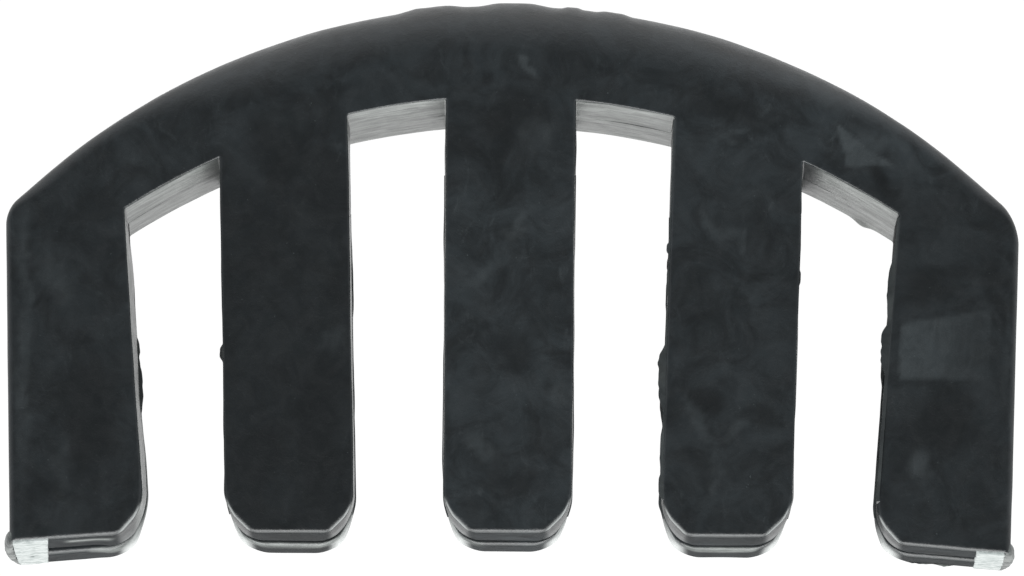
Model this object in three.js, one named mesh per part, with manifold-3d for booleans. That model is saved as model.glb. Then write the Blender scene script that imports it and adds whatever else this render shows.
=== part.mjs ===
// Five-prong rubber practice mute for a violin, built with three.js and manifold-3d (npm: three, manifold-3d).
// Millimetres. The mute lies on its rear face: X runs across the prongs, Y from the prong ends to the
// crown, Z through the thickness. The origin is under the middle of the box. The dimensions below count Y
// from the outer prongs' ends, and the finished group is moved back by half of its height.
//
// The real mute is one moulding of black rubber. A cleft runs across all five prongs and splits each one
// into a front leg and a rear leg, which grip the two faces of the violin's bridge. Each leg is its own
// mesh, hinged at the root of the cleft where the rubber bends, and the arched crown is one more mesh.
import * as THREE from "three";
import { mergeVertices } from "three/addons/utils/BufferGeometryUtils.js";
import Module from "manifold-3d";

// Thickness, front to rear. It falls evenly from the top of the crown to the prong ends.
const CROWN_THICKNESS = 11.0;
const END_THICKNESS = 9.5;
const EDGE_ROUND = 0.6;

// Crown: two arcs about the line x = 0.
const CROWN_TOP = 27.56;
const CROWN_RADIUS = 36.0;
const UNDERSIDE_TOP = 22.8;
const UNDERSIDE_RADIUS = 35.6;
const SHOULDER_ROUND = 1.5;

// Each line of a prong's side is x = at0 + slope * y. The prongs lean towards the middle.
const CENTRE_SIDE = { at0: 3.23, slope: 0.002 };
const MID_INNER_SIDE = { at0: 7.7, slope: 0.026 };
const MID_OUTER_SIDE = { at0: 14.23, slope: 0.0244 };
const OUTER_INNER_SIDE = { at0: 18.3, slope: 0.0712 };
const OUTER_SIDE = { at0: 25.15, slope: 0.0206 };

// Prong ends, and the soft corners of the ends. The outer corner of each outer prong is square.
const CENTRE_END = 0.9;
const MID_END = 0.72;
const OUTER_END_INSIDE = 0.52;
const CORNER_WIDTH = 1.7;
const CORNER_HEIGHT = 2.1;

// Cleft: a wedge about the middle of the thickness, with a flat root in each prong.
const CLEFT_ROOT_WIDTH = 1.4;
const CLEFT_WIDENING = 0.06;
const CLEFT_TOP = 20.2;
const SEAT_HEIGHTS = [12.6, 18.4, 20.2, 18.4, 12.6];
const SEAT_DEPTH = 0.8;
const HINGE_GAP = 0.3;

// Pads across the mouth of the cleft at the outer corner of each outer prong, where the gate was cut off.
// Half of each pad is on the front leg and half on the rear leg.
const PAD_WIDTH = 1.75;
const PAD_HEIGHT = 0.6;

// Middles of the string gaps, which divide the prongs from each other.
const GAP_INNER = 5.75;
const GAP_OUTER = 16.9;
const PRONG_SPANS = [
  [-28, -GAP_OUTER],
  [-GAP_OUTER, -GAP_INNER],
  [-GAP_INNER, GAP_INNER],
  [GAP_INNER, GAP_OUTER],
  [GAP_OUTER, 28],
];
const BELOW = -2;
const CURVE_STEPS = 5;

const wasm = await Module();
wasm.setup();

const rubber = () =>
  new THREE.MeshStandardMaterial({ color: 0x2c3032, roughness: 0.7, metalness: 0.0 });

const sideX = (side, y) => side.at0 + side.slope * y;
const thicknessAt = (y) => END_THICKNESS + ((CROWN_THICKNESS - END_THICKNESS) * y) / CROWN_TOP;
const cleftWidthAt = (y) => CLEFT_ROOT_WIDTH + CLEFT_WIDENING * (CLEFT_TOP - y);

function toSolid(geometry) {
  const bare = geometry.clone();
  bare.deleteAttribute("normal");
  bare.deleteAttribute("uv");
  const merged = mergeVertices(bare, 1e-5);
  return new wasm.Manifold(
    new wasm.Mesh({
      numProp: 3,
      vertProperties: new Float32Array(merged.attributes.position.array),
      triVerts: new Uint32Array(merged.index.array),
    }),
  );
}

function toGeometry(solid) {
  const { vertProperties, triVerts } = solid.getMesh();
  const geometry = new THREE.BufferGeometry();
  geometry.setAttribute("position", new THREE.BufferAttribute(new Float32Array(vertProperties), 3));
  geometry.setIndex(new THREE.BufferAttribute(new Uint32Array(triVerts), 1));
  geometry.computeVertexNormals();
  return geometry;
}

// Where a line of a prong's side meets an arc of this radius whose highest point is at top.
function meetsArc(side, top, radius) {
  const centre = top - radius;
  let y = top;
  for (let i = 0; i < 60; i += 1) {
    y = centre + Math.sqrt(radius ** 2 - sideX(side, y) ** 2);
  }
  return new THREE.Vector2(sideX(side, y), y);
}

// Adds the arc that bridges from one point to another about (0, top - radius).
function arcBetween(shape, from, to, top, radius) {
  const centre = top - radius;
  const start = Math.atan2(from.y - centre, from.x);
  const end = Math.atan2(to.y - centre, to.x);
  shape.absarc(0, centre, radius, start, end, end < start);
}

// The soft corner at a prong's end. The path runs down the side and along the end, or the other way.
function endCorner(shape, sign, side, endY, goingDown) {
  const corner = [sign * sideX(side, endY), endY];
  const onSide = [sign * sideX(side, endY + CORNER_HEIGHT), endY + CORNER_HEIGHT];
  const inward = Math.sign(goingDown.endX - corner[0]);
  const onEnd = [corner[0] + inward * CORNER_WIDTH, endY];
  const [first, last] = goingDown.down ? [onSide, onEnd] : [onEnd, onSide];
  shape.lineTo(...first);
  shape.quadraticCurveTo(...corner, ...last);
}

const flip = (p) => new THREE.Vector2(-p.x, p.y);

// The outline, counterclockwise from the left shoulder's foot: down, along the ends, and over the crown.
function outline() {
  const shoulder = meetsArc(OUTER_SIDE, CROWN_TOP, CROWN_RADIUS);
  const roots = {
    outer: meetsArc(OUTER_INNER_SIDE, UNDERSIDE_TOP, UNDERSIDE_RADIUS),
    midOut: meetsArc(MID_OUTER_SIDE, UNDERSIDE_TOP, UNDERSIDE_RADIUS),
    midIn: meetsArc(MID_INNER_SIDE, UNDERSIDE_TOP, UNDERSIDE_RADIUS),
    centre: meetsArc(CENTRE_SIDE, UNDERSIDE_TOP, UNDERSIDE_RADIUS),
  };
  const shape = new THREE.Shape();
  const foot = shoulder.y - SHOULDER_ROUND;
  shape.moveTo(-sideX(OUTER_SIDE, foot), foot);

  shape.lineTo(-sideX(OUTER_SIDE, 0), 0);
  endCorner(shape, -1, OUTER_INNER_SIDE, OUTER_END_INSIDE, { down: false, endX: -30 });
  shape.lineTo(-roots.outer.x, roots.outer.y);
  arcBetween(shape, flip(roots.outer), flip(roots.midOut), UNDERSIDE_TOP, UNDERSIDE_RADIUS);
  endCorner(shape, -1, MID_OUTER_SIDE, MID_END, { down: true, endX: 0 });
  endCorner(shape, -1, MID_INNER_SIDE, MID_END, { down: false, endX: -30 });
  shape.lineTo(-roots.midIn.x, roots.midIn.y);
  arcBetween(shape, flip(roots.midIn), flip(roots.centre), UNDERSIDE_TOP, UNDERSIDE_RADIUS);
  endCorner(shape, -1, CENTRE_SIDE, CENTRE_END, { down: true, endX: 0 });
  endCorner(shape, 1, CENTRE_SIDE, CENTRE_END, { down: false, endX: 0 });
  shape.lineTo(roots.centre.x, roots.centre.y);
  arcBetween(shape, roots.centre, roots.midIn, UNDERSIDE_TOP, UNDERSIDE_RADIUS);
  endCorner(shape, 1, MID_INNER_SIDE, MID_END, { down: true, endX: 30 });
  endCorner(shape, 1, MID_OUTER_SIDE, MID_END, { down: false, endX: 0 });
  shape.lineTo(roots.midOut.x, roots.midOut.y);
  arcBetween(shape, roots.midOut, roots.outer, UNDERSIDE_TOP, UNDERSIDE_RADIUS);
  endCorner(shape, 1, OUTER_INNER_SIDE, OUTER_END_INSIDE, { down: true, endX: 30 });
  shape.lineTo(sideX(OUTER_SIDE, 0), 0);
  shape.lineTo(sideX(OUTER_SIDE, foot), foot);

  // Over the crown, in five arcs between the softened shoulders.
  const centre = CROWN_TOP - CROWN_RADIUS;
  const angle = Math.atan2(shoulder.y - centre, shoulder.x) + SHOULDER_ROUND / CROWN_RADIUS;
  const onArc = (a) => [CROWN_RADIUS * Math.cos(a), centre + CROWN_RADIUS * Math.sin(a)];
  shape.quadraticCurveTo(shoulder.x, shoulder.y, ...onArc(angle));
  const sweep = Math.PI - 2 * angle;
  for (let i = 0; i < 5; i += 1) {
    shape.absarc(0, centre, CROWN_RADIUS, angle + (sweep * i) / 5, angle + (sweep * (i + 1)) / 5, false);
  }
  shape.quadraticCurveTo(-shoulder.x, shoulder.y, -sideX(OUTER_SIDE, foot), foot);
  return shape;
}

// The whole moulding without its cleft, tapered towards the prong ends.
function moulding() {
  const geometry = new THREE.ExtrudeGeometry(outline(), {
    depth: CROWN_THICKNESS - 2 * EDGE_ROUND,
    curveSegments: CURVE_STEPS,
    bevelEnabled: true,
    bevelThickness: EDGE_ROUND,
    bevelSize: EDGE_ROUND,
    bevelOffset: -EDGE_ROUND,
    bevelSegments: 3,
  });
  geometry.translate(0, 0, EDGE_ROUND);
  const points = geometry.attributes.position;
  for (let i = 0; i < points.count; i += 1) {
    points.setZ(i, (points.getZ(i) * thicknessAt(points.getY(i))) / CROWN_THICKNESS);
  }
  return toSolid(geometry);
}

// A straight bar along X whose section is a polygon of [y, z] corners.
function bar(corners, [fromX, toX]) {
  const section = new THREE.Shape(corners.map(([y, z]) => new THREE.Vector2(-z, y)));
  const geometry = new THREE.ExtrudeGeometry(section, { depth: toX - fromX, bevelEnabled: false });
  geometry.rotateY(Math.PI / 2);
  geometry.translate(fromX, 0, 0);
  return toSolid(geometry);
}

// The cleft's two walls at a height: the rear wall for side -1 and the front wall for side 1.
const cleftWall = (y, side) => [y, thicknessAt(y) / 2 + (side * cleftWidthAt(y)) / 2];

function legRegion(top, span, side) {
  const far = side > 0 ? CROWN_THICKNESS + 2 : -2;
  return bar([cleftWall(BELOW, side), cleftWall(top, side), [top, far], [BELOW, far]], span);
}

// One leg's half of the pad, which closes the cleft's mouth up to a narrow gap at its middle.
function padRegion(index, side) {
  const outer = index === 0 ? -1 : 1;
  const edge = sideX(OUTER_SIDE, 0) * outer;
  const span = [edge - outer * PAD_WIDTH, edge + outer].sort((a, b) => a - b);
  const middle = (y) => [y, thicknessAt(y) / 2 + (side * HINGE_GAP) / 2];
  const buried = (y) => [y, thicknessAt(y) / 2 + side * (cleftWidthAt(y) / 2 + 0.5)];
  return bar([middle(BELOW), middle(PAD_HEIGHT), buried(PAD_HEIGHT), buried(BELOW)], span);
}

function leg(index, top, side) {
  const body = whole.intersect(legRegion(top, PRONG_SPANS[index], side));
  const isOuter = index === 0 || index === SEAT_HEIGHTS.length - 1;
  return isOuter ? body.add(whole.intersect(padRegion(index, side))) : body;
}

const mute = new THREE.Group();
mute.position.y = -CROWN_TOP / 2;
const whole = moulding();

function addPart(name, solid) {
  const mesh = new THREE.Mesh(toGeometry(solid), rubber());
  mesh.name = name;
  mute.add(mesh);
}

// The crown: the arch and the stub of each prong, down to just below the root of the cleft.
let crown = whole;
SEAT_HEIGHTS.forEach((seat, i) => {
  const stubEnd = seat - SEAT_DEPTH;
  const depth = CROWN_THICKNESS + 4;
  crown = crown.subtract(
    bar([[BELOW, -2], [stubEnd, -2], [stubEnd, depth], [BELOW, depth]], PRONG_SPANS[i]),
  );
  const cleft = [cleftWall(BELOW, -1), cleftWall(seat, -1), cleftWall(seat, 1), cleftWall(BELOW, 1)];
  crown = crown.subtract(bar(cleft, PRONG_SPANS[i]));
});
addPart("crown", crown);

// The legs, counted from the left prong.
SEAT_HEIGHTS.forEach((seat, i) => {
  const top = seat - SEAT_DEPTH - HINGE_GAP;
  addPart(`front_leg_${i + 1}`, leg(i, top, 1));
  addPart(`rear_leg_${i + 1}`, leg(i, top, -1));
});

export default mute;
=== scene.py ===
"""A rubber practice mute for a violin, lying on a pale floor. Blender 4.5.

The moulding is one rounded shape, described by a distance field in millimetres. Its surface is made
once, then parted into the crown and the ten legs, so that neighbouring pieces share their edges
exactly.
"""

import math

import bpy
import mathutils
import numpy as np
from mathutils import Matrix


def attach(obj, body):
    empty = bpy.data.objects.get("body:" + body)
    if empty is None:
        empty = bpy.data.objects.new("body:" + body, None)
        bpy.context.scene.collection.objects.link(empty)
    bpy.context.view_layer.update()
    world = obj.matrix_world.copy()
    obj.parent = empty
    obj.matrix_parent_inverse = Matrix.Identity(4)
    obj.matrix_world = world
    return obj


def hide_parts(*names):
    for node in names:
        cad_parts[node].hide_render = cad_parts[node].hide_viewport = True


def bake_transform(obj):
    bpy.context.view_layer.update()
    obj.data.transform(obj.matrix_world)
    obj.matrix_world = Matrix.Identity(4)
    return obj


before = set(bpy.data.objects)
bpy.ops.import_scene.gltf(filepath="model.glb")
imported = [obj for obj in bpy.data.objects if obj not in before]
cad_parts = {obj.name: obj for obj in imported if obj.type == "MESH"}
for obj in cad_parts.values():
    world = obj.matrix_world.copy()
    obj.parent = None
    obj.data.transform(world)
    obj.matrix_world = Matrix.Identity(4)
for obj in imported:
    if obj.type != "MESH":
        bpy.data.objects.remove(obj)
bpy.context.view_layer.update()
MM = 0.001

# The moulding, in millimetres, as in the CAD. Y counts from the outer prongs' ends.
CROWN_TOP = 27.56
CROWN_RADIUS = 36.0
UNDERSIDE_TOP = 22.8
UNDERSIDE_RADIUS = 35.6
CROWN_THICKNESS = 11.0
END_THICKNESS = 9.5
HALF_HEIGHT = CROWN_TOP / 2

# Lines of the prongs' sides, as x at y = 0 and slope, and each prong's end, as y at x = 0 and slope.
CENTRE_SIDE = (3.23, 0.002)
MID_INNER_SIDE = (7.7, 0.026)
MID_OUTER_SIDE = (14.23, 0.0244)
OUTER_INNER_SIDE = (18.3, 0.0712)
OUTER_SIDE = (25.15, 0.0206)
CENTRE_END = (0.9, 0.0)
MID_END = (0.72, 0.0)
OUTER_END = (2.03, -0.0812)
# The chamfer and the roundings at a prong's corner, as a value on the front face and its change by the
# rear: how far the chamfer takes in the end and the side, then the rounding beside each.
CHAMFER_ACROSS = (1.32, -0.27)
CHAMFER_ALONG = (1.28, 0.05)
SIDE_ROUND = (0.55, 0.45)
END_ROUND = (0.22, 0.63)
SQUARE_ROUND = 0.15
# How far each prong's end stands up or down from those lines, on the front face and on the rear.
FRONT_TRIM = (0.06, -0.09, -0.17, -0.13, -0.17)
REAR_TRIM = (0.0, -0.05, -0.1, -0.12, 0.1)
TRIMMED = (1.5, 7.0)
# How far the right-hand side stands out at its edge, where that begins, and how sharply it grows.
DRIFT = 0.28
DRIFT_START = 2
DRIFT_LENGTH = 23
DRIFT_POWER = 1.5

# Cleft.
CLEFT_ROOT_WIDTH = 1.4
CLEFT_WIDENING = 0.06
CLEFT_TOP = 20.2
SEATS = (20.2, 18.4, 12.6)
SEAT_DEPTH = 0.8
CLEFT_ROOT_ROUND = 0.3
# Lines in the gaps that divide the prongs. The outer ones lie where the arch is still well above the
# middle clefts' roots.
GAPS = (5.75, 15.9)

# Edge radii.
CROWN_EDGE = 2.9
PRONG_EDGE = 0.12
SIDE_EDGE = 0.32
END_EDGE = 0.26
# Where along Y the end's edge radius gives way to the prong's.
TIP = (2.2, 3.4)
CLEFT_EDGE = 0.26
# What part of the crown's edge radius is gone at the shoulders, and the distances from the middle
# between which it goes.
EDGE_TAPER = 0.72
EDGE_TAPERS = (11.0, 21.0)
# How far the rounded crown stands outside the CAD's arc. Then how much lower it is at each shoulder,
# and the distances from the middle between which it drops.
CROWN_SWELL = 0.25
LEFT_DROP = 0.29
LEFT_DROPS = (9.0, 23.0)
RIGHT_DROP = 0.39
RIGHT_DROPS = (10.0, 26.0)
LEFT_SHOULDER = 0.52
RIGHT_SHOULDER = 0.9
INNER_FILLET = 0.07
DRAFT = math.tan(math.radians(0.6))

# Lobes left along the top of the crown where the flash was trimmed: place along X, half length, height.
CROWN_LOBES = ((-4.05, 1.9, 0.17), (0.2, 2.0, 0.18), (3.1, 0.6, 0.1), (5.2, 1.0, 0.12))

SEAM_LEVELS = tuple(seat - SEAT_DEPTH for seat in SEATS)
# Half the height of the row of cells that each seam lies in.
SEAM_HALF_ROWS = (0.06, 0.06, 0.075)


# ---------------------------------------------------------------- noise


def lattice(seed, shape):
    return np.random.default_rng(seed).uniform(-1.0, 1.0, shape)


def value_noise(p, scale, seed):
    """Smooth noise between -1 and 1 at points p, with features about scale millimetres across."""
    table = lattice(seed, (64, 64, 64))
    q = np.asarray(p) / scale
    base = np.floor(q).astype(int)
    f = q - base
    w = f * f * f * (f * (f * 6 - 15) + 10)
    out = np.zeros(len(q))
    for corner in range(8):
        d = np.array([corner & 1, (corner >> 1) & 1, (corner >> 2) & 1])
        weight = np.prod(np.where(d == 1, w, 1 - w), axis=1)
        i = (base + d) % 64
        out += weight * table[i[:, 0], i[:, 1], i[:, 2]]
    return out


def line_noise(s, scale, seed):
    """The same along a line."""
    table = lattice(seed, 512)
    q = np.asarray(s) / scale
    base = np.floor(q).astype(int)
    f = q - base
    w = f * f * (3 - 2 * f)
    return table[base % 512] * (1 - w) + table[(base + 1) % 512] * w


# ---------------------------------------------------------------- shape


def round_max(a, b, r):
    """Where both are inside, with the corner between them rounded."""
    return np.minimum(np.maximum(a, b), -r) + np.hypot(np.maximum(a + r, 0), np.maximum(b + r, 0))


def round_min(a, b, r):
    """Where either is inside, with the corner between them filled."""
    return -round_max(-a, -b, r)


def smooth(t, low, high):
    t = np.clip((t - low) / (high - low), 0.0, 1.0)
    return t * t * (3 - 2 * t)


def side(line, y):
    """A straight line's value at y."""
    return line[0] + line[1] * y


def thickness(y):
    return END_THICKNESS + (CROWN_THICKNESS - END_THICKNESS) * y / CROWN_TOP


def cleft_width(y):
    return CLEFT_ROOT_WIDTH + CLEFT_WIDENING * (CLEFT_TOP - y)


def by_prong(ax, values):
    """One value for the centre prong, one for the middle pair and one for the outer pair."""
    return np.where(ax < GAPS[0], values[0], np.where(ax < GAPS[1], values[1], values[2]))


def soft_corner(s, e, depth):
    """A prong's side and end, meeting in a chamfer that changes from the front face to the rear."""
    across, along = side(CHAMFER_ACROSS, depth), side(CHAMFER_ALONG, depth)
    chamfer = (s / across + e / along + 1) / np.hypot(1 / across, 1 / along)
    return round_max(round_max(s, chamfer, side(SIDE_ROUND, depth)), e, side(END_ROUND, depth))


def outline(x, y, depth=0.5):
    """Distances in the mute's plane: to the prongs and the underside, to the arc, to the sides."""
    ax = np.abs(x)
    drop = LEFT_DROP * smooth(-x, *LEFT_DROPS) + RIGHT_DROP * smooth(x, *RIGHT_DROPS)
    arc = np.hypot(x, y - (CROWN_TOP - CROWN_RADIUS)) - CROWN_RADIUS - (CROWN_SWELL - drop)
    outer = ax - side(OUTER_SIDE, y)
    under = UNDERSIDE_RADIUS - np.hypot(x, y - (UNDERSIDE_TOP - UNDERSIDE_RADIUS))
    centre = soft_corner(ax - side(CENTRE_SIDE, y), CENTRE_END[0] - y, depth)
    mid_end = MID_END[0] - y
    middle = np.maximum(
        soft_corner(side(MID_INNER_SIDE, y) - ax, mid_end, depth),
        soft_corner(ax - side(MID_OUTER_SIDE, y), mid_end, depth),
    )
    outer_end = side(OUTER_END, ax) - y
    last = np.maximum(
        soft_corner(side(OUTER_INNER_SIDE, y) - ax, outer_end, depth),
        round_max(outer, outer_end, SQUARE_ROUND),
    )
    prongs = np.minimum(np.minimum(centre, middle), last)
    return round_min(under, prongs, INNER_FILLET), arc, outer


def shoulders(x, arc, outer):
    """The arc and the outer sides together, with the corner between them rounded."""
    return round_max(arc, outer, np.where(x < 0, LEFT_SHOULDER, RIGHT_SHOULDER))


def parting_outline(x, y):
    """The mute's outline at the parting line, half way through it."""
    inner, arc, outer = outline(x, y)
    return np.maximum(inner, shoulders(x, arc, outer)) - DRAFT * thickness(y) / 2


def field(x, y, z):
    """Signed distance to the moulding's surface, negative inside."""
    h = thickness(y)
    middle = h / 2
    faces = np.maximum(-z, z - h)
    draft = DRAFT * (middle - np.abs(z - middle))
    inner, arc, outer = (d - draft for d in outline(x, y, np.clip(1 - z / h, 0, 1)))
    prong_edge = PRONG_EDGE + (END_EDGE - PRONG_EDGE) * smooth(-y, -TIP[1], -TIP[0])
    crown_edge = CROWN_EDGE * (1 - EDGE_TAPER * smooth(np.abs(x), *EDGE_TAPERS))
    body_edge = SIDE_EDGE + (crown_edge - SIDE_EDGE) * smooth(arc - outer, -0.3, 1.8)
    body = round_max(shoulders(x, arc, outer), faces, body_edge)
    d = np.maximum(round_max(inner, faces, prong_edge), body)
    seat = by_prong(np.abs(x), SEATS)
    cleft = round_max(np.abs(z - middle) - cleft_width(y) / 2, y - seat, CLEFT_ROOT_ROUND)
    return round_max(d, -cleft, CLEFT_EDGE)


def unevenness(x, y, z):
    """How far the hand-trimmed rubber departs from the mould's true shape."""
    p = np.stack([x, y, z], axis=1) + 40.0
    rough = 0.03 * value_noise(p, 4.2, 11) + 0.012 * value_noise(p, 1.5, 12)
    trimmed = np.exp(-(((z - 0.72 * thickness(y)) / 1.3) ** 2)) * smooth(y, 24.0, 26.0)
    for middle, half, height in CROWN_LOBES:
        rough = rough - trimmed * height * (1 - smooth(np.abs(x - middle) / half, 0.35, 1.0))
    ridge = np.exp(-(((z - thickness(y) / 2) / 3.4) ** 2))
    # The left prong's inner side swells towards its end, and the right one's is hollow there.
    inner_left = smooth(x, -21.0, -19.5) * (x < -GAPS[1])
    swelling = 0.12 * smooth(-y, -17.0, -14.0) + 0.1 * smooth(-y, -8.0, -4.5)
    rough = rough - ridge * inner_left * swelling
    inner_right = (1 - smooth(x, 19.5, 21.0)) * (x > GAPS[1])
    rough = rough + 0.1 * inner_right * smooth(y, 1.8, 3.5) * (1 - smooth(y, 6.0, 8.5))
    # A blister on the rear edge of the right-hand gap's arch.
    near = np.hypot(np.hypot(x - 17.9, 0.8 * (z - 0.2)), 0.5 * (y - 17.8))
    return rough - 0.16 * np.exp(-((near / 0.42) ** 2))


def surface(x, y, z):
    return field(x, y, z) + unevenness(x, y, z)


def gradient(p, eps=0.02):
    x, y, z = p.T
    g = np.stack(
        [
            surface(x + eps, y, z) - surface(x - eps, y, z),
            surface(x, y + eps, z) - surface(x, y - eps, z),
            surface(x, y, z + eps) - surface(x, y, z - eps),
        ],
        axis=1,
    )
    return g / (2 * eps)


# ---------------------------------------------------------------- surface

# Distances from a zone's end at which the grid is cut, fine beside an edge and coarser away from it.
# None is at the zone's end itself, so that no face of the mute lies exactly on the grid.
FINE = (0.015, 0.045, 0.08, 0.12, 0.17, 0.24, 0.34, 0.49, 0.7)
NARROW = (0.02, 0.06, 0.12, 0.2)
MARGIN = (0.015, 0.05, 0.1, 0.6)
SPACING = 0.15


def graded(length, fine, spacing):
    """Cuts from 0 to 1 along a zone of about this length, fine at both ends."""
    start, stop = fine[-1], length - fine[-1]
    middle = np.linspace(start, stop, max(int(round((stop - start) / spacing)), 1) + 1)[1:-1]
    cuts = np.concatenate([fine, middle, length - np.array(fine[::-1])])
    return cuts / length


def zones(edges, cuts):
    """Grid lines through the zones between edges, and some outside the first and the last."""
    lines = [edges[0] - m for m in MARGIN[::-1]]
    for low, high, t in zip(edges, edges[1:], cuts):
        lines += [low + f * (high - low) for f in t]
    lines += [edges[-1] + m for m in MARGIN]
    return np.stack(lines, axis=-1)


def grid_across(y):
    """Grid lines across the mute at heights y. They follow the prongs' sides."""
    sides = [
        side(line, y)
        for line in (CENTRE_SIDE, MID_INNER_SIDE, MID_OUTER_SIDE, OUTER_INNER_SIDE, OUTER_SIDE)
    ]
    edges = [-e for e in sides[::-1]] + sides
    cuts = [graded(np.mean(b - a), NARROW, SPACING) for a, b in zip(edges, edges[1:])]
    return zones(edges, cuts)


def grid_through(y):
    """Grid lines from the rear face to the front at heights y. They follow the cleft."""
    middle, half = thickness(y) / 2, cleft_width(y) / 2
    edges = [0 * y, middle - half, middle + half, thickness(y)]
    cuts = [graded(4.0, FINE, 0.36), graded(2.0, FINE[:6], 0.25), graded(4.0, FINE, 0.36)]
    return zones(edges, cuts)


def grid_up():
    """Grid lines along the prongs, with each seam in the middle of a row of cells."""
    rows = (
        (-0.6, -0.2, 2),
        (-0.2, 1.4, 20),
        (1.4, 3.2, 14),
        (3.2, 11.725, 28),
        (11.725, 12.925, 8),
        (12.925, 16.46, 14),
        (16.46, 28.22, 98),
    )
    lines = [np.linspace(a, b, n + 1)[:-1] for a, b, n in rows]
    return np.append(np.concatenate(lines), rows[-1][1])


def surface_nets():
    """Vertices and quads on the zero level of the field, one vertex in each cell that it crosses."""
    ys = grid_up()
    xs, zs = grid_across(ys), grid_through(ys)
    values = np.empty((xs.shape[1], len(ys), zs.shape[1]), np.float32)
    for i in range(xs.shape[1]):
        x = np.broadcast_to(xs[:, i, None], zs.shape)
        y = np.broadcast_to(ys[:, None], zs.shape)
        values[i] = field(x.ravel(), y.ravel(), zs.ravel()).reshape(zs.shape)

    inside = values < 0
    count = np.zeros(tuple(n - 1 for n in values.shape), np.int8)
    corners = [(a, b, c) for a in (0, 1) for b in (0, 1) for c in (0, 1)]
    for a, b, c in corners:
        count += inside[a : a + count.shape[0], b : b + count.shape[1], c : c + count.shape[2]]
    cells = np.argwhere((count > 0) & (count < 8))
    index = np.full(count.shape, -1, np.int64)
    index[tuple(cells.T)] = np.arange(len(cells))

    total = np.zeros((len(cells), 3))
    hits = np.zeros(len(cells))
    for first in corners:
        for axis in range(3):
            if first[axis]:
                continue
            second = list(first)
            second[axis] = 1
            a = tuple((cells + first).T)
            b = tuple((cells + second).T)
            va, vb = values[a].astype(float), values[b].astype(float)
            cross = (va < 0) != (vb < 0)
            t = np.where(cross, va / np.where(cross, va - vb, 1.0), 0.0)[:, None]
            ends = [np.stack([xs[c[1], c[0]], ys[c[1]], zs[c[1], c[2]]], axis=1) for c in (a, b)]
            total += (ends[0] * (1 - t) + ends[1] * t) * cross[:, None]
            hits += cross
    points = total / hits[:, None]

    quads = []
    for axis in range(3):
        u, v = (axis + 1) % 3, (axis + 2) % 3
        low = [slice(None)] * 3
        high = [slice(None)] * 3
        low[axis], high[axis] = slice(0, -1), slice(1, None)
        change = inside[tuple(low)] != inside[tuple(high)]
        edges = np.argwhere(change)
        edges = edges[(edges[:, u] > 0) & (edges[:, v] > 0)]
        starts_inside = inside[tuple(edges.T)]
        around = []
        for du, dv in ((-1, -1), (0, -1), (0, 0), (-1, 0)):
            cell = edges.copy()
            cell[:, u] += du
            cell[:, v] += dv
            around.append(index[tuple(cell.T)])
        quad = np.stack(around, axis=1)
        quad[~starts_inside] = quad[~starts_inside][:, ::-1]
        quads.append(quad)
    return points, np.concatenate(quads)


def seam_level(p):
    return by_prong(np.abs(p[:, 0]), SEAM_LEVELS)


def settle(points):
    """Moves the vertices onto the surface, and those in a seam's row of cells to the seam's plane."""
    half_row = by_prong(np.abs(points[:, 0]), SEAM_HALF_ROWS)
    on_seam = np.abs(points[:, 1] - seam_level(points)) < half_row - 1e-6
    points = points.copy()
    points[on_seam, 1] = seam_level(points)[on_seam]
    for _ in range(8):
        g = gradient(points)
        g[on_seam, 1] = 0.0
        d = surface(*points.T)
        move = g * (d / np.maximum((g * g).sum(axis=1), 0.15))[:, None]
        length = np.linalg.norm(move, axis=1)
        move *= np.minimum(1.0, 0.08 / np.maximum(length, 1e-9))[:, None]
        points -= move
    return points


# ---------------------------------------------------------------- marks, tone and painted light


# Rubbed and dusty marks on the front face: x, y, half length, half width, angle in degrees, strength.
MARKS = (
    (18.2, 20.9, 1.6, 0.5, -38, 0.6),
    (24.9, 8.0, 9.0, 0.22, 90, 0.25),
    (-24.6, 10.0, 9.0, 0.5, 90, 0.5),
    (-22.6, 4.2, 1.6, 0.6, 90, 0.35),
    (19.4, 20.6, 1.5, 0.6, -40, 0.5),
    (11.1, 21.0, 1.3, 0.13, 8, 0.7),
    (10.3, 16.3, 1.6, 0.35, -35, 0.55),
    (11.4, 15.7, 0.7, 0.3, 60, 0.5),
    (9.7, 6.5, 1.6, 0.4, -55, 0.6),
    (11.5, 5.9, 1.2, 0.35, 40, 0.5),
    (10.5, 3.9, 1.5, 0.3, 85, 0.5),
    (1.2, 20.8, 1.5, 1.0, 30, 0.5),
    (0.3, 16.6, 1.5, 0.35, 50, 0.7),
    (-1.5, 13.8, 1.3, 0.5, 20, 0.5),
    (2.6, 7.6, 0.8, 1.0, 70, 0.6),
    (-1.4, 5.0, 1.3, 0.5, -40, 0.6),
    (0.9, 24.4, 1.0, 0.25, -60, 0.8),
    (-8.7, 10.6, 1.0, 0.7, 20, 0.35),
    (-22.9, 13.5, 1.0, 1.6, 20, 0.35),
    (20.5, 4.3, 0.7, 1.1, 10, 0.6),
    (-16.9, 23.5, 2.6, 0.7, 32, 0.5),
    (15.8, 23.6, 2.6, 0.8, -30, 0.6),
)
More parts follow.
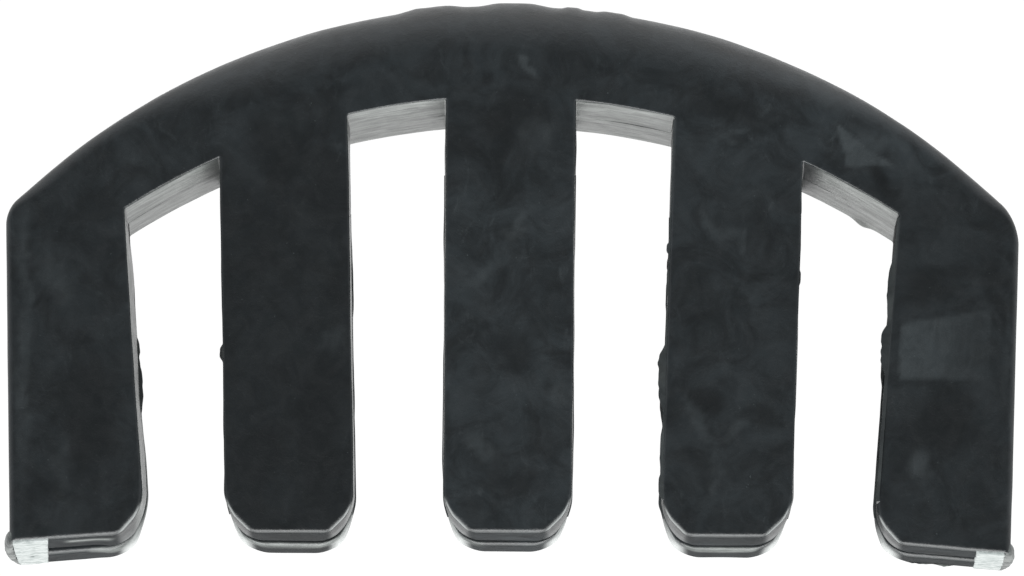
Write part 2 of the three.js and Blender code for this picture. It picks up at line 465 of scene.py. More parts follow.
# Where the rubber is blacker, in the same terms.
DARK_MARKS = (
    (18.6, 18.6, 1.2, 0.6, -35, 1.0),
    (-21.2, 6.3, 4.4, 1.9, 85, 0.8),
    (-11.6, 20.4, 2.5, 1.9, -10, 0.7),
    (-9.6, 6.0, 5.0, 1.4, 90, 0.7),
    (-12.4, 4.5, 2.0, 1.2, 80, 0.6),
    (0.3, 21.6, 3.0, 1.9, 0, 0.75),
    (0.3, 9.6, 1.2, 1.6, 20, 0.7),
    (0.4, 3.2, 1.7, 0.9, 0, 0.6),
    (11.4, 22.2, 2.9, 1.0, -15, 0.75),
    (10.0, 7.3, 1.0, 0.8, 20, 0.9),
    (12.8, 6.6, 1.2, 0.8, -30, 0.7),
    (21.0, 13.4, 1.7, 1.2, 20, 0.8),
    (21.6, 6.3, 2.6, 2.1, 0, 0.8),
    (-21.2, 17.0, 1.8, 1.0, 20, 0.6),
)
# Rubs with straight sides, as a point on each side and the direction inward, and how light each is.
QUADRILATERAL = (
    ((19.6, 9.5), (1, 0)),
    ((21.5, 11.8), (0.2, -0.98)),
    ((24.1, 10.5), (-1, 0)),
    ((21.5, 8.65), (0, 1)),
)
TRIANGLE = (
    ((16.6, 20.5), (0.98, 0.2)),
    ((17.8, 20.55), (-0.6, -0.8)),
    ((17.8, 19.4), (0, 1)),
)
RUBS = ((QUADRILATERAL, 0.8), (TRIANGLE, 0.85))
# How much of the rubber's cloudy tone each prong shows.
PRONG_TONE = (0.6, 0.3, 1.0, 0.8, 0.6)
# Where the arch's underside is smeared dark: place along X, half length, strength.
SMEARS = ((-15.0, 0.7, 0.6), (-3.8, 0.5, 0.25), (14.9, 0.9, 0.95))


def ellipses(x, y, table):
    """The strongest of a table's soft-edged marks at each point."""
    total = 0 * x
    for cx, cy, length, width, degrees, strength in table:
        c, s = math.cos(math.radians(degrees)), math.sin(math.radians(degrees))
        u, v = (c * (x - cx) + s * (y - cy)) / length, (c * (y - cy) - s * (x - cx)) / width
        total = np.maximum(total, strength * (1 - smooth(np.hypot(u, v), 0.35, 1.15)))
    return total


# Painted highlights on the rear legs' ends, along the cleft's edge: middle along X, half length,
# strength.
LENS_HIGHLIGHTS = ((-19.5, 1.9, 0.7), (-11.0, 3.2, 0.8), (-2.3, 1.2, 0.35), (10.8, 2.0, 1.0))
# A painted highlight line on the left prong's front leg: from and to along X, and through the depth.
STROKE_HIGHLIGHT = (-22.4, -19.9, 0.1, 0.2)


def finish_and_painted_light(p, n):
    """How the rubber's surface varies over the moulding, with the highlights and sheen painted into it,
    as a value at each vertex.
    """
    x, y, z = p.T
    wall = 1 - smooth(np.abs(n[:, 2]), 0.3, 0.75)
    depth = 1 - z / thickness(y)
    tips = 1 - smooth(y, 2.4, 3.2)
    # The arches' undersides carry pale dust, made lighter by a painted sheen.
    under = wall * smooth(-n[:, 1], 0.55, 0.85) * smooth(y, 12.0, 14.0)
    for middle, half, strength in SMEARS:
        under = under * (1 - strength * (1 - smooth(np.abs(x - middle) / half, 0.3, 1.2)))
    # Painted highlights, pale in the colour: along the rear legs' edges at the cleft, and a line on the
    # left prong's front leg.
    lens = 0 * x
    for middle, half, strength in LENS_HIGHLIGHTS:
        bulge = np.sqrt(np.maximum(1 - ((x - middle) / half) ** 2, 0))
        reach = 1 - smooth(depth, 0.6, 0.66 + 0.1 * bulge)
        lens = np.maximum(lens, strength * smooth(bulge, 0.1, 0.6) * reach)
    lens = lens * smooth(depth, 0.58, 0.6)
    left, right, near, far = STROKE_HIGHLIGHT
    stroke_highlight = smooth(x, left - 0.2, left + 0.4) * (1 - smooth(x, right - 0.4, right + 0.2))
    stroke_highlight = stroke_highlight * smooth(depth, near - 0.03, near) * (1 - smooth(depth, far - 0.05, far))
    lens = np.maximum(lens, 0.7 * stroke_highlight) * tips * smooth(-n[:, 1], 0.1, 0.5)
    sideways = smooth(np.abs(n[:, 0]), 0.3, 0.6)
    corner = tips * wall * smooth(-n[:, 1], 0.15, 0.5) * sideways
    # Painted reflection: the rear halves of the chamfered corners at the prongs' ends are made near
    # white.
    painted_highlight = corner * (0.12 * smooth(depth, 0.1, 0.3) + 0.88 * smooth(depth, 0.3, 0.95))
    # Painted highlight along the fillet between the front face and each end.
    rim = smooth(n[:, 2], 0.25, 0.5) * (1 - smooth(n[:, 2], 0.85, 0.97))
    rim = tips * rim * smooth(-n[:, 1], 0.2, 0.4)
    painted_highlight = np.maximum(0.85 * painted_highlight, rim * (0.06 + 0.4 * sideways))
    rag = smooth(side(OUTER_END, x) - y, 0.02, 0.06) * (1 - smooth(np.abs(x - 21.7), 0.6, 0.8))
    sides = wall * smooth(np.abs(n[:, 0]), 0.8, 0.95) * smooth(y, 0.6, 1.4)
    which = np.digitize(x, WALL_MIDDLES)
    flash = 0.12 * (np.abs(n).sum(axis=1) < 0.1)
    # Pale dust with a painted sheen on the undersides and walls, the painted highlights above, and pale
    # torn rubber and fins.
    dust_and_sheen = np.maximum.reduce([under, sides * np.array(WALL_DUST_AND_SHEEN)[which], lens, 0.7 * rag, flash])
    end = tips * wall * smooth(-n[:, 1], 0.8, 0.96) * (1 - corner) * (1 - lens)
    scuffed = np.maximum(end, sides * np.array(WALL_SCUFF)[which])

    front = smooth(n[:, 2], 0.3, 0.8)
    q = p + 60
    wx = x + 0.4 * value_noise(q, 1.1, 41) + 0.2 * value_noise(q, 0.4, 42)
    wy = y + 0.4 * value_noise(q, 1.1, 43) + 0.2 * value_noise(q, 0.4, 44)
    cloud = 0.75 + 0.35 * value_noise(q, 0.6, 45)
    veil = ellipses(wx, wy, MARKS) * cloud
    for sides_of_rub, strength in RUBS:
        rub = 1 + 0 * x
        for (px, py), (dx, dy) in sides_of_rub:
            inside = (x + 0.25 * (wx - x) - px) * dx + (y + 0.25 * (wy - y) - py) * dy
            rub = np.minimum(rub, smooth(inside, -0.08, 0.12))
        fading = 1.1 - 0.18 * np.maximum(x - 19.6, 0)
        veil = np.maximum(veil, strength * rub * (0.7 + 0.4 * cloud) * fading)
    prong_tone = np.array(PRONG_TONE)[np.digitize(x, (-GAPS[1], -GAPS[0], GAPS[0], GAPS[1]))]
    crown_tone = 0.8 + 0.5 * smooth(x, 4.0, 16.0)
    tone = prong_tone + (crown_tone - prong_tone) * smooth(y, 17.5, 21.0)
    tone = tone * (1 - ellipses(wx, wy, DARK_MARKS) * front)
    return {
        "dust_and_sheen": dust_and_sheen,
        "painted_highlight": painted_highlight,
        "scuffed": scuffed,
        "matte": np.maximum.reduce([end, corner, sides * (which == 8)]),
        "veil": front * veil,
        "tone": tone,
    }


# ---------------------------------------------------------------- pieces


def to_frame(p):
    """Millimetres to the frame's metres, with each prong's end as it was trimmed.

    The right-hand prongs stand a little further out than the left.
    """
    x, y, z = p.T
    prong = np.digitize(x, (-GAPS[1], -GAPS[0], GAPS[0], GAPS[1]))
    front, rear = np.array(FRONT_TRIM)[prong], np.array(REAR_TRIM)[prong]
    p = p - [0, HALF_HEIGHT, 0]
    p[:, 0] += DRIFT * (np.maximum(x - DRIFT_START, 0) / DRIFT_LENGTH) ** DRIFT_POWER
    p[:, 1] += (rear + (front - rear) * z / thickness(y)) * (1 - smooth(y, *TRIMMED))
    return (p * MM).tolist()


class Shell:
    """A closed mesh in millimetres, built up from parts."""

    def __init__(self):
        self.points = []
        self.normals = []
        self.faces = []
        self.flat = []
        self.count = 0

    def add(self, points, normals, faces, flat=False):
        self.points.append(points)
        self.normals.append(normals)
        self.faces += [tuple(int(i) + self.count for i in f) for f in faces]
        self.flat += [flat] * len(faces)
        self.count += len(points)

    def build(self, name, material, matte):
        points = np.concatenate(self.points)
        normals = np.concatenate(self.normals)
        mesh = bpy.data.meshes.new(name)
        mesh.from_pydata(to_frame(points), [], self.faces)
        mesh.update()
        mesh.polygons.foreach_set("use_smooth", [True] * len(self.faces))
        corner_normals = []
        for face, flat in zip(mesh.polygons, self.flat):
            if flat:
                corner_normals += [tuple(face.normal)] * len(face.vertices)
            else:
                corner_normals += [tuple(normals[i]) for i in face.vertices]
        mesh.normals_split_custom_set(corner_normals)
        values = finish_and_painted_light(points, normals)
        dull = values.pop("matte")
        for key, value in values.items():
            mesh.attributes.new(key, "FLOAT", "POINT").data.foreach_set("value", value)
        mesh.materials.append(material)
        mesh.materials.append(matte)
        which = [int(dull[list(f)].mean() > 0.5) for f in self.faces]
        mesh.polygons.foreach_set("material_index", which)
        obj = bpy.data.objects.new(name, mesh)
        bpy.context.scene.collection.objects.link(obj)
        return obj


def boundary_loops(quads, points):
    """A set of faces' open edges on the seams, in loops that run against the faces' order."""
    ahead = np.roll(quads, -1, axis=1)
    on_seam = np.abs(points[:, 1] - seam_level(points)) < 1e-9
    pairs = zip(quads.ravel(), ahead.ravel())
    edges = {(int(a), int(b)) for a, b in pairs if on_seam[a] and on_seam[b]}
    follow = {b: a for a, b in edges if (b, a) not in edges}
    loops = []
    while follow:
        start, nxt = next(iter(follow.items()))
        loop = [start]
        del follow[start]
        while nxt != start:
            loop.append(nxt)
            nxt = follow.pop(nxt)
        loops.append(loop)
    return loops


def part_moulding(points, quads, normals):
    """Splits the surface into the crown and the legs, and closes each cut with a flat cap."""
    centre = points[quads].mean(axis=1)
    below = centre[:, 1] < seam_level(centre)
    prong = np.digitize(centre[:, 0], (-GAPS[1], -GAPS[0], GAPS[0], GAPS[1])) + 1
    front = centre[:, 2] > thickness(centre[:, 1]) / 2
    names = {"crown": ~below}
    for n in range(1, 6):
        names[f"front_leg_{n}"] = below & (prong == n) & front
        names[f"rear_leg_{n}"] = below & (prong == n) & ~front
    shells = {}
    for name, mask in names.items():
        used, own = np.unique(quads[mask], return_inverse=True)
        own = own.reshape(-1, 4)
        shell = Shell()
        shell.add(points[used], normals[used], own)
        for loop in boundary_loops(own, points[used]):
            cap = np.array(loop)
            shell.add(points[used][cap], normals[used][cap], [tuple(range(len(cap)))], flat=True)
        shells[name] = shell
    return shells


# ---------------------------------------------------------------- flash

# The prongs' walls from left to right: side of the mute, the wall's line, and the prong it is on.
WALLS = (
    (-1, OUTER_SIDE, 1),
    (-1, OUTER_INNER_SIDE, 1),
    (-1, MID_OUTER_SIDE, 2),
    (-1, MID_INNER_SIDE, 2),
    (-1, CENTRE_SIDE, 3),
    (1, CENTRE_SIDE, 3),
    (1, MID_INNER_SIDE, 4),
    (1, MID_OUTER_SIDE, 4),
    (1, OUTER_INNER_SIDE, 5),
    (1, OUTER_SIDE, 5),
)
# How much pale dust each of them carries, made lighter by a painted sheen.
WALL_DUST_AND_SHEEN = (0.15, 0.9, 0.2, 0.7, 0.2, 0.3, 0.2, 0.3, 0.0, 0.1)
# How far each is scuffed dull.
WALL_SCUFF = (0.3, 0.0, 0.3, 0.0, 0.3, 0.2, 0.5, 0.3, 1.0, 0.8)
WALL_MIDDLES = (-22.0, -17.0, -11.4, -5.7, 0.0, 5.7, 11.4, 17.0, 22.0)

# Lobes of flash on the walls: wall, height of the lobe's middle, half length, and reach.
LOBES = (
    (1, 9.1, 2.6, 0.24),
    (1, 12.6, 2.2, 0.11),
    (2, 10.2, 0.5, 0.17),
    (3, 14.0, 2.5, 0.04),
    (6, 15.2, 0.35, 0.12),
    (6, 13.6, 0.9, 0.09),
    (6, 8.7, 1.9, 0.4),
    (6, 5.0, 1.5, 0.11),
    (6, 3.3, 0.8, 0.16),
    (7, 14.3, 0.5, 0.10),
    (8, 13.1, 1.9, 0.2),
    (8, 10.3, 1.5, 0.3),
)
# The walls where the flash lies almost flush with the front face.
FLUSH_WALLS = (6, 8)
# How square to X a surface stands for the flash to count as lying on a wall.
ON_WALL = (0.8, 0.95)
# Below this height the prongs' ends carry no flash, and over this range it grows.
FLASH_END = 2.3
FLASH_GROWS = (2.3, 3.1)
# The flash on the legs runs this far from the cleft's edges.
CLEFT_LIP = 0.2


def flash_level(path, level):
    """Where the flash lies through the thickness: at a level, or beside the front face."""
    x, y = path[:, 0], path[:, 1]
    flush = np.isin(np.digitize(x, WALL_MIDDLES), FLUSH_WALLS) * smooth(np.abs(path[:, 2]), *ON_WALL)
    return level + (thickness(y) - 0.1 - level) * flush * smooth(y, 1.6, 2.6)


def seam_of(prong):
    return SEAM_LEVELS[abs(prong - 3)]


def wall_start(wall):
    sign, line, prong = WALLS[wall]
    level = seam_of(prong)
    return [sign * side(line, level), level]


def trace(starts, stops, step=0.1, most=1200):
    """Follows the parting line, with the rubber on the left, until each path's stop test holds."""

    def slope(q):
        e = 0.01
        x, y = q.T
        across = parting_outline(x + e, y) - parting_outline(x - e, y)
        along = parting_outline(x, y + e) - parting_outline(x, y - e)
        return np.stack([across, along], axis=1)

    p = np.array(starts, float)
    paths = [[] for _ in starts]
    live = [True] * len(starts)
    for i in range(most):
        for _ in range(3):
            g = slope(p)
            g /= np.maximum(np.linalg.norm(g, axis=1), 1e-9)[:, None]
            p = p - g * parting_outline(*p.T)[:, None]
        for k, path in enumerate(paths):
            if live[k]:
                path.append([*p[k], *g[k]])
                live[k] = not (i > 20 and stops[k](p[k]))
        if not any(live):
            break
        p = p + step * np.stack([-g[:, 1], g[:, 0]], axis=1)
    return [np.array(path) for path in paths]


def add_fin(shell, path, z, reach, root=0.16, thick=0.13):
    """A thin fin of flash along a path, whose rows are x, y and the outward direction."""
    xy, out = path[:, :2], path[:, 2:]
    z = np.broadcast_to(z, len(path))
    rings = []
    for distance, offset in ((-root, -0.5), (reach, -0.1), (reach, 0.1), (-root, 0.5)):
        distance = np.broadcast_to(distance, len(path))[:, None]
        rings.append(np.column_stack([xy + out * distance, z + offset * thick]))
    points = np.stack(rings, axis=1).reshape(-1, 3)
    faces = []
    for i in range(len(path) - 1):
        a, b = 4 * i, 4 * (i + 1)
        faces += [(b + j, b + (j + 1) % 4, a + (j + 1) % 4, a + j) for j in range(4)]
    last = 4 * (len(path) - 1)
    faces += [(0, 1, 2, 3), (last + 3, last + 2, last + 1, last)]
    along = np.where(np.abs(path[:, 3]) > 0.8, path[:, 3], 0.0)
    facing = np.repeat(np.column_stack([0 * along, along, 0 * along]), 4, axis=0)
    shell.add(points, facing, faces, flat=True)


def flash_reach(path, seed):
    """How far the flash stands out along a path, with the ragged line of a torn edge."""
    x, y = path[:, 0], path[:, 1]
    walls = np.digitize(x, WALL_MIDDLES)
    reach = np.zeros(len(path))
    for wall, middle, half, height in LOBES:
        lobe = height * (1 - smooth(np.abs(y - middle) / half, 0.4, 1.0))
        reach = np.where(walls == wall, np.maximum(reach, lobe), reach)
    s = np.arange(len(path)) * 0.1
    ragged = 1 + 0.2 * line_noise(s, 0.8, seed) + 0.1 * line_noise(s, 0.25, seed + 1)
    whisker = np.maximum(0.015 + 0.04 * line_noise(s, 1.6, seed + 2), 0)
    return (reach * ragged + whisker) * smooth(y, *FLASH_GROWS)


def add_flash(shells):
    """Flash along the crown's parting line, and along the cleft's edges on the legs."""
    leg_paths = trace(
        [wall_start(2 * n) for n in range(5)],
        [lambda q, top=seam_of(n + 1): q[1] >= top for n in range(5)],
    )
    for n, path in enumerate(leg_paths, start=1):
        y = path[:, 1]
        middle, half = thickness(y) / 2, cleft_width(y) / 2
        level = flash_level(path, middle + half + CLEFT_LIP)
        reach = flash_reach(path, 100 * n)
        rear = 0.4 * flash_reach(path, 100 * n + 50)
        # None is left round the prong's end.
        tip = np.flatnonzero(y < FLASH_END)
        for part in (slice(0, tip[0]), slice(tip[-1] + 1, None)):
            add_fin(shells[f"front_leg_{n}"], path[part], level[part], reach[part])
            add_fin(shells[f"rear_leg_{n}"], path[part], (middle - half - CLEFT_LIP)[part], rear[part])

    def gap_end(wall):
        x, level = wall_start(wall)
        return lambda q: q[0] > x - 0.6 and q[1] <= level

    crown_paths = trace(
        [wall_start(wall) for wall in (1, 3, 5, 7, 9)],
        [gap_end(wall) for wall in (2, 4, 6, 8)] + [lambda q: q[0] < 0 and q[1] <= seam_of(1)],
    )
    for k, path in enumerate(crown_paths):
        x, y = path[:, 0], path[:, 1]
        seat = by_prong(np.abs(x), SEATS)
        # On a wall beside the cleft's root the flash is on the front leg's side of the cleft.
        aside = (1 - smooth(y, seat + 0.2, seat + 1.2)) * smooth(np.abs(path[:, 2]), *ON_WALL)
        z = flash_level(path, thickness(y) / 2 + aside * (cleft_width(y) / 2 + CLEFT_LIP))
        reach = flash_reach(path, 700 + 10 * k)
        reach = reach * (1 - 0.85 * smooth(np.abs(path[:, 3]), 0.5, 0.8))
        add_fin(shells["crown"], path, z, reach)


# ---------------------------------------------------------------- gate pads


def rounded_block(low, high, radius, cuts, bend=None, rough=0.0, seed=0):
    """A closed block in millimetres with rounded edges, finely divided, then bent and roughened."""
    low, high = np.array(low, float), np.array(high, float)
    points, faces, index = [], [], {}

    def vertex(p):
        key = tuple(np.round(p, 6))
        if key not in index:
            index[key] = len(points)
            points.append(p)
        return index[key]

    for axis in range(3):
        u, v = (axis + 1) % 3, (axis + 2) % 3
        for end in (0.0, 1.0):
            for i in range(cuts[u]):
                for j in range(cuts[v]):
                    quad = []
                    for a, b in ((i, j), (i + 1, j), (i + 1, j + 1), (i, j + 1)):
                        p = np.zeros(3)
                        p[axis], p[u], p[v] = end, a / cuts[u], b / cuts[v]
                        quad.append(vertex(p))
                    faces.append(quad if end else quad[::-1])
    p = low + np.array(points) * (high - low)
    core = np.clip(p, low + radius, high - radius)
    away = p - core
    length = np.linalg.norm(away, axis=1)
    p = core + away * (radius / np.maximum(length, 1e-9))[:, None]
    p = np.where(length[:, None] > 1e-9, p, core)
    if rough:
        for k in range(3):
            p[:, k] += rough * value_noise(p + 50, 0.35, seed + k)
    if bend:
        p = bend(p)
    return p, faces


def make_object(name, p, faces, material):
    mesh = bpy.data.meshes.new(name)
    mesh.from_pydata(to_frame(p), [], faces)
    mesh.update()
    mesh.polygons.foreach_set("use_smooth", [True] * len(faces))
    mesh.materials.append(material)
    obj = bpy.data.objects.new(name, mesh)
    bpy.context.scene.collection.objects.link(obj)
    return obj


def to_end_face(p):
    """Follows the slope of the outer prongs' ends."""
    p = p.copy()
    p[:, 1] += side(OUTER_END, np.abs(p[:, 0]))
    return p


def to_lump(p):
    """The same, swelling out beyond the prong's side half way through it and thin at both faces."""
    through = np.abs(2 * p[:, 2] / thickness(0) - 1.1)
    swell = np.sqrt(np.clip(1 - through ** 2.4, 0.02, 1))
    root = 24.85
    p = p.copy()
    p[:, 0] = np.sign(p[:, 0]) * (root + (np.abs(p[:, 0]) - root) * np.maximum(swell, 0.15))
    return to_end_face(p)


def gate_pads(cut, torn):
    """The cut gate at the outer corner of each outer prong, half on the front leg and half on the rear.

    Each has a pale cut face on the prong's end, and a torn lump along the corner beside it. The cut
    face's two edges lean outward towards the rear.
    """
    made = []
    front = thickness(0)
    overlap = 0.04
    for prong, sign, (inner, lean_in), (edge, lean_out), outer in (
        (1, -1, (23.19, 0.3), (25.0, 0.0), 25.5),
        (5, 1, (23.45, 0.15), (24.85, 0.2), 25.45),
    ):

        def to_mark(p):
            p = p.copy()
            nearness = (edge - np.abs(p[:, 0])) / (edge - inner)
            p[:, 0] += sign * (lean_out + (lean_in - lean_out) * nearness) * (1 - p[:, 2] / front)
            return to_end_face(p)

        mark = (inner, edge), (-0.06, 0.5), 0.03, 0.025, (20, 6, 44), cut, to_mark
        lump = (edge - 0.06, outer), (-0.07, 0.66), 0.25, 0.02, (10, 12, 44), torn, to_lump
        halves = ("front", (front / 2 - overlap, front - 0.06)), ("rear", (0.12, front / 2 + overlap))
        for leg, z in halves:
            for what, shape in (("gate_mark", mark), ("gate_lump", lump)):
                xs, ys, radius, rough, cuts, material, bend = shape
                low, high = sorted((sign * xs[0], sign * xs[1]))
                block = (low, ys[0], z[0]), (high, ys[1], z[1])
                p, faces = rounded_block(*block, radius, cuts, bend, rough, 300 + prong)
                obj = make_object(f"{what}_{prong}_{leg}", p, faces, material)
                made.append((obj, f"{leg}_leg_{prong}"))
    return made


def add_rear_rag(shell):
    """Torn flash hanging on the rear edge of the right-hand prong's end."""
    x = np.arange(20.2, 22.6, 0.06)
    y = side(OUTER_END, x)
    path = np.column_stack([x, y, 0 * x, 0 * x - 1])
    reach = 0.05 + 0.035 * line_noise(x, 0.5, 91) + 0.025 * line_noise(x, 0.18, 92)
    reach = reach * smooth(x, 20.1, 20.6) * (1 - smooth(x, 22.3, 22.6))
    add_fin(shell, path, 0.2 + 0.05 * line_noise(x, 0.4, 93), np.maximum(reach, 0.0), root=0.3)


# ---------------------------------------------------------------- materials


class Nodes:
    """A short way to write a material's nodes."""

    def __init__(self, name):
        self.material = bpy.data.materials.new(name)
        self.material.use_nodes = True
        self.tree = self.material.node_tree
        self.shader = self.tree.nodes["Principled BSDF"]

    def add(self, kind, **settings):
        node = self.tree.nodes.new(kind)
        for key, value in settings.items():
            setattr(node, key, value)
        return node

    def link(self, source, target):
        self.tree.links.new(source, target)

    def place(self, scale=(1, 1, 1), turn=0.0):
        """Object coordinates in millimetres, scaled and turned about Z."""
        if not hasattr(self, "coordinates"):
            self.coordinates = self.add("ShaderNodeTexCoord").outputs["Object"]
        node = self.add("ShaderNodeMapping")
        node.inputs["Rotation"].default_value = (0, 0, turn)
        node.inputs["Scale"].default_value = [1000 * s for s in scale]
        self.link(self.coordinates, node.inputs["Vector"])
        return node.outputs["Vector"]

    def noise(self, vector, scale, detail=4.0, rough=0.5, distort=0.0):
        node = self.add("ShaderNodeTexNoise")
        node.inputs["Scale"].default_value = scale
        node.inputs["Detail"].default_value = detail
        node.inputs["Roughness"].default_value = rough
        node.inputs["Distortion"].default_value = distort
        self.link(vector, node.inputs["Vector"])
        return node.outputs["Fac"]

    def ramp(self, value, low, high, to_low=0.0, to_high=1.0):
        node = self.add("ShaderNodeMapRange", interpolation_type="SMOOTHSTEP")
        ends = {"From Min": low, "From Max": high, "To Min": to_low, "To Max": to_high}
        for key, number in ends.items():
            node.inputs[key].default_value = number
        self.link(value, node.inputs["Value"])
        return node.outputs["Result"]

    def math(self, operation, a, b):
        node = self.add("ShaderNodeMath", operation=operation)
        for socket, value in zip(node.inputs, (a, b)):
            if isinstance(value, (int, float)):
                socket.default_value = value
            else:
                self.link(value, socket)
        return node.outputs[0]

    def mix(self, factor, a, b):
        node = self.add("ShaderNodeMix", data_type="RGBA")
        for socket, value in ((node.inputs[0], factor), (node.inputs[6], a), (node.inputs[7], b)):
            if isinstance(value, (int, float)):
                socket.default_value = value
            elif isinstance(value, tuple):
                socket.default_value = (*value, 1.0)
            else:
                self.link(value, socket)
        return node.outputs[2]

    def attribute(self, name):
        return self.add("ShaderNodeAttribute", attribute_name=name).outputs["Fac"]

    def bump(self, height, distance, normal=None):
        node = self.add("ShaderNodeBump")
        node.inputs["Strength"].default_value = 1.0
        node.inputs["Distance"].default_value = distance
        self.link(height, node.inputs["Height"])
        if normal is not None:
            self.link(normal, node.inputs["Normal"])
        return node.outputs["Normal"]


def rubber_material(name):
    """Black rubber, cloudy, with a streaked pale coat of talcum and handling that a painted sheen makes
    lighter, and painted highlights at the prongs' ends.
    """
    m = Nodes(name)
    flat = m.place()
    clouds = m.noise(flat, 0.42, 8.0, 0.66, 0.9)
    wisps = m.noise(m.place((1.0, 0.45, 1.0), 0.5), 0.9, 8.0, 0.7, 1.6)
    specks = m.noise(flat, 5.0, 2.0, 0.5)
    cloud = m.math("MULTIPLY", m.ramp(clouds, 0.3, 0.7, 0.12, 1.0), m.attribute("tone"))
    colour = m.mix(cloud, (0.0018, 0.0030, 0.0035), (0.0155, 0.0200, 0.0222))
    veil = m.math("MULTIPLY", m.attribute("veil"), m.ramp(wisps, 0.3, 0.7, 0.5, 1.0))
    loose = m.math("MULTIPLY", m.ramp(wisps, 0.56, 0.8, 0.0, 0.55), m.attribute("tone"))
    colour = m.mix(m.math("MAXIMUM", veil, loose), colour, (0.036, 0.043, 0.0455))
    colour = m.mix(m.ramp(specks, 0.74, 0.8, 0.0, 0.25), colour, (0.1, 0.12, 0.12))
    # Streaked pale dust, made lighter by a painted sheen, on the undersides and walls.
    streaks = m.noise(m.place((0.35, 0.35, 2.2)), 1.0, 6.0, 0.6, 0.3)
    dust_and_sheen_colour = m.mix(m.ramp(streaks, 0.35, 0.68), (0.058, 0.066, 0.061), (0.222, 0.24, 0.227))
    patches = m.ramp(m.noise(flat, 1.3, 4.0), 0.2, 0.6, 0.7, 1.0)
    dust_and_sheen = m.math("MULTIPLY", m.attribute("dust_and_sheen"), patches)
    colour = m.mix(dust_and_sheen, colour, dust_and_sheen_colour)
    # Near-white painted highlights and reflections at the prongs' ends.
    colour = m.mix(m.attribute("painted_highlight"), colour, (0.6, 0.625, 0.61))
    m.link(colour, m.shader.inputs["Base Color"])
    rough = m.ramp(m.noise(flat, 0.9, 5.0, 0.6, 0.8), 0.3, 0.7, 0.31, 0.39)
    rough = m.math("ADD", rough, m.math("MULTIPLY", m.attribute("scuffed"), 0.35))
    m.link(rough, m.shader.inputs["Roughness"])
    grain = m.noise(flat, 9.0, 3.0, 0.6)
    pits = m.noise(flat, 1.6, 5.0, 0.6, 0.5)
    normal = m.bump(grain, 0.00001)
    normal = m.bump(pits, 0.00003, normal)
    m.link(normal, m.shader.inputs["Normal"])
    return m


def gate_material():
    """Freshly cut rubber, pale, with fine tears."""
    m = Nodes("cut_gate")
    flat = m.place()
    tears = m.noise(flat, 1.6, 6.0, 0.6, 0.8)
    colour = m.mix(m.ramp(tears, 0.36, 0.6), (0.25, 0.276, 0.268), (0.39, 0.415, 0.405))
    m.link(colour, m.shader.inputs["Base Color"])
    m.link(m.ramp(tears, 0.3, 0.7, 0.7, 0.5), m.shader.inputs["Roughness"])
    m.link(m.bump(tears, 0.00005), m.shader.inputs["Normal"])
    return m.material


def torn_material():
    """Rubber torn away with the gate: grey, with darker and paler stretched spots."""
    m = Nodes("torn_rubber")
    flat = m.place()
    spots = m.noise(flat, 1.1, 5.0, 0.6, 0.8)
    colour = m.mix(m.ramp(spots, 0.35, 0.65), (0.035, 0.04, 0.039), (0.2, 0.211, 0.203))
    m.link(colour, m.shader.inputs["Base Color"])
    m.link(m.ramp(spots, 0.3, 0.7, 0.5, 0.65), m.shader.inputs["Roughness"])
    m.link(m.bump(spots, 0.00004), m.shader.inputs["Normal"])
    return m.material


# ---------------------------------------------------------------- build

points, quads = surface_nets()
points = settle(points)
normals = gradient(points)
normals /= np.linalg.norm(normals, axis=1)[:, None]

rubber = rubber_material("black_rubber").material
dull = rubber_material("dull_rubber")
dull.shader.inputs["Specular IOR Level"].default_value = 0.15
shells = part_moulding(points, quads, normals)
add_flash(shells)
add_rear_rag(shells["rear_leg_5"])
for node, shell in shells.items():
    obj = shell.build(f"{node}_rubber", rubber, dull.material)
    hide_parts(node)
    if node == "crown":
        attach(obj, "crown")
        continue
    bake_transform(obj)

for obj, body in gate_pads(gate_material(), torn_material()):
    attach(obj, body)


# ---------------------------------------------------------------- stage

# The camera's angles in degrees, its target and distance in metres, and its lens in millimetres.
CAMERA_TILT = 7.5
CAMERA_ROLL = 0.45
CAMERA_TARGET = (0.00014, -0.00076, 0.011)
CAMERA_DISTANCE = 0.6667
CAMERA_LENS = 464.0
# How bright the sky is at the horizon and overhead, what share of that comes from every side alike, and
# how quickly it darkens upward.
HORIZON = 1.65
ZENITH = 0.17
SIDE_SHARE = 0.7
SKY_FALL = 0.65
SKY_COLOUR = (0.93, 0.97, 1.0, 1)
# The floor lies just under the lowest bump of the rear face.
FLOOR_LEVEL = -0.00011
# Place, size and power in watts.
SOFTBOX = ((0.0, -0.75, 0.4), (1.0, 0.62), 12.6)


def floor():
    m = Nodes("pale_floor")
    m.shader.inputs["Base Color"].default_value = (0.05, 0.05, 0.05, 1)
    m.shader.inputs["Roughness"].default_value = 0.9
    m.shader.inputs["Emission Color"].default_value = (1, 1, 1, 1)
    m.shader.inputs["Emission Strength"].default_value = 1.0
    bpy.ops.mesh.primitive_plane_add(size=3, location=(0, 0, FLOOR_LEVEL))
    plane = bpy.context.object
    plane.name = "floor"
    plane.data.materials.append(m.material)


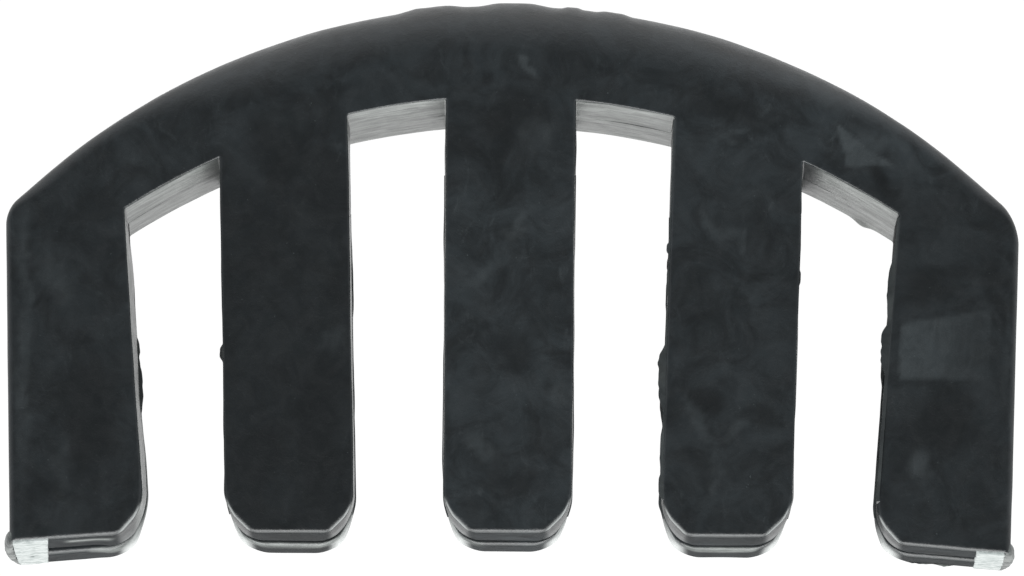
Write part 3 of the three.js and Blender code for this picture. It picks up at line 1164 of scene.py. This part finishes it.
def area_light(name, place, size, power, target=(0, 0, 0.005)):
    data = bpy.data.lights.new(name, "AREA")
    data.shape = "RECTANGLE"
    data.size, data.size_y = size
    data.energy = power
    obj = bpy.data.objects.new(name, data)
    bpy.context.scene.collection.objects.link(obj)
    obj.location = place
    direction = [t - p for t, p in zip(target, place)]
    obj.rotation_euler = mathutils.Vector(direction).to_track_quat("-Z", "Y").to_euler()


def studio():
    """Soft light all round, brightest near the horizon behind the crown."""
    world = bpy.data.worlds.new("studio")
    bpy.context.scene.world = world
    world.use_nodes = True
    tree = world.node_tree
    direction = tree.nodes.new("ShaderNodeTexCoord").outputs["Generated"]
    split = tree.nodes.new("ShaderNodeSeparateXYZ")
    tree.links.new(direction, split.inputs["Vector"])

    def math_node(operation, *values):
        node = tree.nodes.new("ShaderNodeMath")
        node.operation = operation
        for socket, value in zip(node.inputs, values):
            if isinstance(value, float):
                socket.default_value = value
            else:
                tree.links.new(value, socket)
        return node.outputs[0]

    low = math_node("POWER", math_node("SUBTRACT", 1.0, split.outputs["Z"]), SKY_FALL)
    behind = math_node("MULTIPLY_ADD", split.outputs["Y"], 1 - SIDE_SHARE, SIDE_SHARE)
    strength = math_node("MULTIPLY_ADD", math_node("MULTIPLY", low, behind), HORIZON - ZENITH, ZENITH)
    background = tree.nodes["Background"]
    background.inputs["Color"].default_value = SKY_COLOUR
    tree.links.new(strength, background.inputs["Strength"])


def camera():
    tilt = math.radians(CAMERA_TILT)
    roll = math.radians(CAMERA_ROLL)
    forward = np.array([0, math.sin(tilt), -math.cos(tilt)])
    level = np.array([1.0, 0, 0])
    upward = np.cross(level, forward)
    right = math.cos(roll) * level + math.sin(roll) * upward
    up = -math.sin(roll) * level + math.cos(roll) * upward
    place = np.array(CAMERA_TARGET) - CAMERA_DISTANCE * forward
    matrix = mathutils.Matrix.Identity(4)
    for i in range(3):
        matrix[i][0], matrix[i][1], matrix[i][2], matrix[i][3] = right[i], up[i], -forward[i], place[i]
    data = bpy.data.cameras.new("camera")
    data.sensor_width = 36.0
    data.lens = CAMERA_LENS
    data.clip_start = 0.05
    obj = bpy.data.objects.new("camera", data)
    bpy.context.scene.collection.objects.link(obj)
    obj.matrix_world = matrix
    bpy.context.scene.camera = obj


floor()
camera()
studio()
area_light("front_softbox", *SOFTBOX)
bpy.context.scene.view_settings.view_transform = "Standard"
